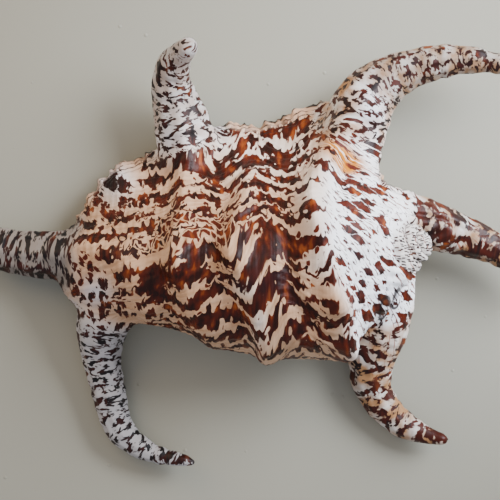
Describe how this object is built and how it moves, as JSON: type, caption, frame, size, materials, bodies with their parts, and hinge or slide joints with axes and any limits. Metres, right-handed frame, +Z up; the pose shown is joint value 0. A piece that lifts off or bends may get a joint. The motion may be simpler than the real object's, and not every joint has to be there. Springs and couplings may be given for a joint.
{
  "type": "chiragra spider conch shell",
  "caption": "Spider conch shell with a low spire, a ridged body whorl, a flared lip with long curved digits and a narrow slot-shaped mouth, lying mouth down.",
  "frame": {"origin": "On the surface that the shell lies on, under the middle of its bounding box.", "axes": "+X along the coiling axis towards the spire, +Y towards the flared lip and its digits, +Z up from the mouth side to the ridged back."},
  "size_m": [0.2188, 0.154, 0.063],
  "materials": {
    "shell": "semi-gloss cream shell with jagged red-brown bands and spots"
  },
  "bodies": {
    "root": {"shell": "shell"}
  },
  "joints": []
}
